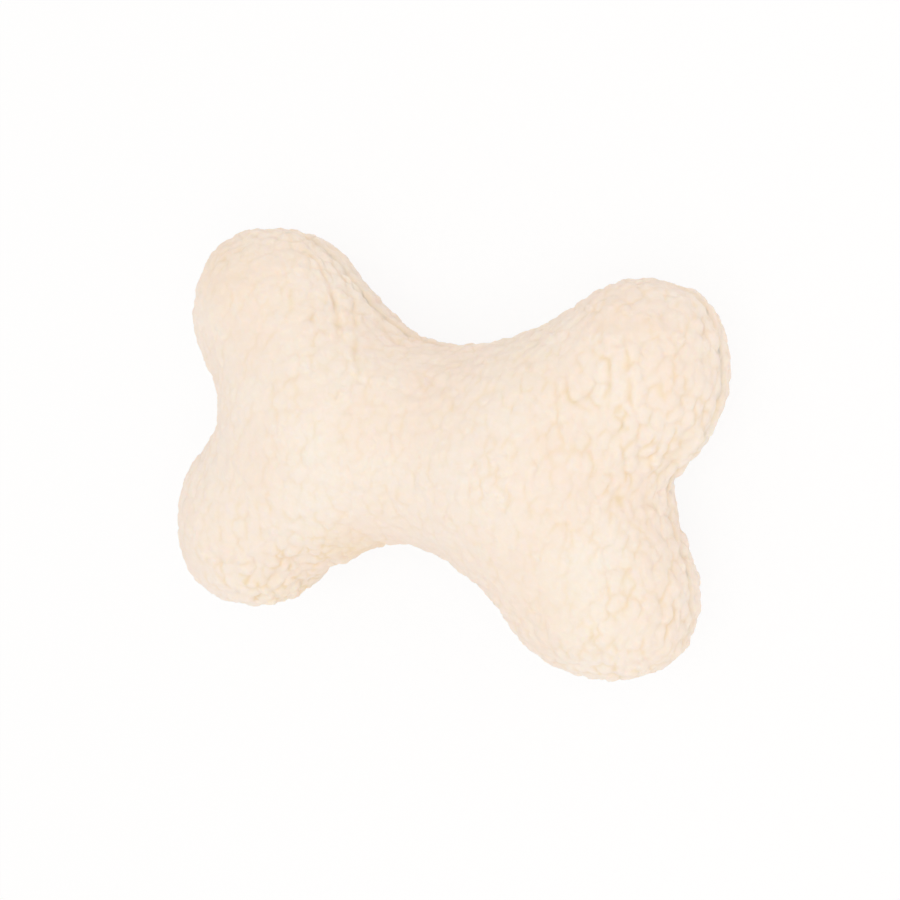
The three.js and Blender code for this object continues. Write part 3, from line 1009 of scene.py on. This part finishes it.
def squeaker_bulb(sides=64):
    """The blown bulb: a thin wall with a faint parting line round its middle, open at the neck."""
    outside = bulb_profile(BULB_RADIUS, BULB_HALF, NECK_RADIUS, BULB_OUTSIDE_STEPS, ridge=MOULD_LINE)
    inner_radius, inner_half = BULB_RADIUS - BULB_WALL, BULB_HALF - BULB_WALL
    inside = bulb_profile(inner_radius, inner_half, NECK_BORE_RADIUS, BULB_INSIDE_STEPS)[::-1]
    top = BULB_HALF + NECK_HEIGHT
    neck = np.array([
        (NECK_RADIUS, top - LIP),
        (NECK_RADIUS - LIP, top),
        (NECK_BORE_RADIUS + LIP, top),
        (NECK_BORE_RADIUS, top - LIP),
    ])
    profile = np.concatenate([outside[1:], neck, inside[:-1]])
    around = np.arange(sides) / sides * 2 * math.pi
    bm = bmesh.new()
    rings = []
    for radius, height in profile:
        ring = np.column_stack([radius * np.cos(around), radius * np.sin(around), np.full(sides, height)])
        rings.append((ring + (0, 0, SEAM_HEIGHT)) * MM)
    made = skin(bm, rings)
    for ring, height in ((made[0], outside[0][1]), (made[-1], inside[-1][1])):
        pole = bm.verts.new((0, 0, (SEAM_HEIGHT + height) * MM))
        for k in range(sides):
            bm.faces.new((ring[k], ring[(k + 1) % sides], pole))
    bmesh.ops.recalc_face_normals(bm, faces=bm.faces)
    bulb = new_object("squeaker_blown_bulb", bm)
    smooth_faces(bulb.data)
    return bulb


# Materials
class Surface:
    """A material with a principled shader, and textures on the object's own coordinates that feed it."""

    def __init__(self, name, **sockets):
        self.material = bpy.data.materials.new(name)
        self.material.use_nodes = True
        self.nodes = self.material.node_tree.nodes
        self.links = self.material.node_tree.links
        self.nodes.clear()
        self.shader = add_node(self.nodes, "BsdfPrincipled", **sockets)
        output = add_node(self.nodes, "OutputMaterial")
        self.links.new(self.shader.outputs[0], output.inputs[0])
        self.where = add_node(self.nodes, "TexCoord").outputs["Object"]

    def noise(self, **sockets):
        texture = add_node(self.nodes, "TexNoise", **sockets)
        self.links.new(self.where, texture.inputs["Vector"])
        return texture.outputs["Fac"]

    def ramp(self, factor, dark, light, start=0.3, end=0.7):
        node = add_node(self.nodes, "ValToRGB")
        low, high = node.color_ramp.elements
        low.position, low.color = start, dark
        high.position, high.color = end, light
        self.links.new(factor, node.inputs["Fac"])
        return node.outputs["Color"]

    def ranged(self, value, **sockets):
        node = add_node(self.nodes, "MapRange", **sockets)
        self.links.new(value, node.inputs["Value"])
        return node.outputs[0]

    def mixed(self, factor, colour, second):
        """A colour from a socket, mixed with a plain second colour."""
        node = self.nodes.new("ShaderNodeMix")
        node.data_type = "RGBA"
        node.inputs["B"].default_value = second
        self.links.new(factor, node.inputs["Factor"])
        self.links.new(colour, node.inputs["A"])
        return node.outputs["Result"]

    def feed(self, value, socket):
        self.links.new(value, self.shader.inputs[socket])

    def bump(self, height, strength, distance):
        node = add_node(self.nodes, "Bump", Strength=strength, Distance=distance)
        self.links.new(height, node.inputs["Height"])
        self.feed(node.outputs[0], "Normal")


def fleece_material():
    """Cream fleece: soft patches, painted shade in fine dots, partings, hollows, folds and seam, fine curls
    as a bump.
    """
    fleece = Surface(
        "sherpa_fleece", Roughness=0.95, Specular_IOR_Level=0.15,
        Sheen_Weight=0.35, Sheen_Roughness=0.6, Sheen_Tint=SHEEN,
        Subsurface_Weight=0.7, Subsurface_Radius=(1.0, 0.8, 0.6), Subsurface_Scale=0.002,
    )
    tone = fleece.ramp(fleece.noise(Scale=22.0, Detail=3.0), CREAM_SHADE, CREAM)
    # Fine dots of painted shade between the curls, at random places
    specks = fleece.noise(Scale=520.0, Detail=3.0, Distortion=1.2)
    curl_shade_flecks = fleece.ranged(specks, From_Min=0.35, From_Max=0.65, To_Min=0.0, To_Max=0.14)
    # The painted shade of the partings, hollows, folds, seam groove and patches, from the panels' attribute,
    # mixed in as a tan
    between = add_node(fleece.nodes, "Attribute")
    between.attribute_name = "parting"
    amount = math_node(fleece.nodes, "MULTIPLY", SHADE_BETWEEN_SHARE)
    fleece.links.new(between.outputs["Fac"], amount.inputs[0])
    colour = fleece.mixed(amount.outputs[0], fleece.mixed(curl_shade_flecks, tone, PAINTED_CURL_SHADE), SHADE_BETWEEN_TUFTS)
    fleece.feed(colour, "Base Color")
    curls = fleece.noise(Scale=700.0, Detail=5.0, Roughness=0.75, Distortion=2.0)
    fleece.bump(curls, strength=0.42, distance=0.0008)
    return fleece.material


def wadding_material():
    wadding = Surface(
        "polyester_wadding", Roughness=0.9, Specular_IOR_Level=0.2, Sheen_Weight=0.5,
        Subsurface_Weight=0.4, Subsurface_Radius=(1.0, 1.0, 1.0), Subsurface_Scale=0.004,
    )
    clouds = wadding.noise(Scale=90.0, Detail=4.0)
    fibres = wadding.noise(Scale=420.0, Detail=6.0, Distortion=4.0)
    wadding.feed(wadding.ramp(clouds, WADDING_SHADE, WADDING_WHITE), "Base Color")
    wadding.bump(fibres, strength=0.6, distance=0.0008)
    return wadding.material


def thread_material():
    thread = Surface("polyester_thread", Roughness=0.55, Sheen_Weight=0.3)
    strands = thread.noise(Scale=1500.0, Detail=2.0)
    thread.feed(thread.ramp(strands, THREAD_SHADE, THREAD_LIGHT, start=0.0, end=1.0), "Base Color")
    thread.bump(strands, strength=0.4, distance=0.0001)
    return thread.material


def plastic_material(name, dark, light, roughness, translucency, grain):
    """Moulded plastic: faint flow marks in the colour and a fine grain from the mould."""
    plastic = Surface(
        name, Subsurface_Weight=translucency, Subsurface_Radius=(1.0, 1.0, 1.0), Subsurface_Scale=0.001,
    )
    flow = plastic.noise(Scale=120.0, Detail=2.0, Distortion=1.0)
    plastic.feed(plastic.ramp(flow, (*dark, 1), (*light, 1)), "Base Color")
    plastic.feed(plastic.ranged(flow, To_Min=roughness * 0.85, To_Max=roughness * 1.2), "Roughness")
    plastic.bump(plastic.noise(Scale=2500.0, Detail=2.0), strength=grain, distance=0.00005)
    return plastic.material


# Soft pieces ride on the toy
def dress(piece, node, material):
    piece.data.materials.append(material)
    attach(piece, "toy")
    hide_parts(node)
    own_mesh(piece)


bpy.context.scene.view_settings.view_transform = "Standard"
camera = add_camera()
add_lamps(camera)
make_world()
make_floor()

fleece = fleece_material()
front, back = make_fleece()
dress(front, "front_panel", fleece)
dress(back, "back_panel", fleece)

wadding = wadding_material()
for count, node in enumerate(sorted(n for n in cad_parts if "filling" in n)):
    dress(wad(node, seed=20 + 2 * count), node, wadding)

thread = thread_material()
dress(lockstitch("needle_lockstitch", 1), "needle_thread", thread)
dress(lockstitch("bobbin_lockstitch", -1), "bobbin_thread", thread)
dress(ladder_stitch("closing_ladder_stitch"), "closing_thread", thread)

blown = plastic_material("blown_plastic", (0.82, 0.82, 0.77), (0.91, 0.91, 0.87), 0.4, 0.3, 0.3)
moulded = plastic_material("moulded_plastic", (0.72, 0.72, 0.68), (0.82, 0.82, 0.78), 0.32, 0.15, 0.25)
film = plastic_material("reed_film", (0.66, 0.67, 0.64), (0.74, 0.75, 0.72), 0.2, 0.1, 0.15)
dress(squeaker_bulb(), "squeaker_bulb", blown)
for node, material in (("squeaker_plug", moulded), ("voice_piece", moulded), ("squeaker_reed", film)):
    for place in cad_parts[node].material_slots:
        place.link = "OBJECT"
        place.material = material
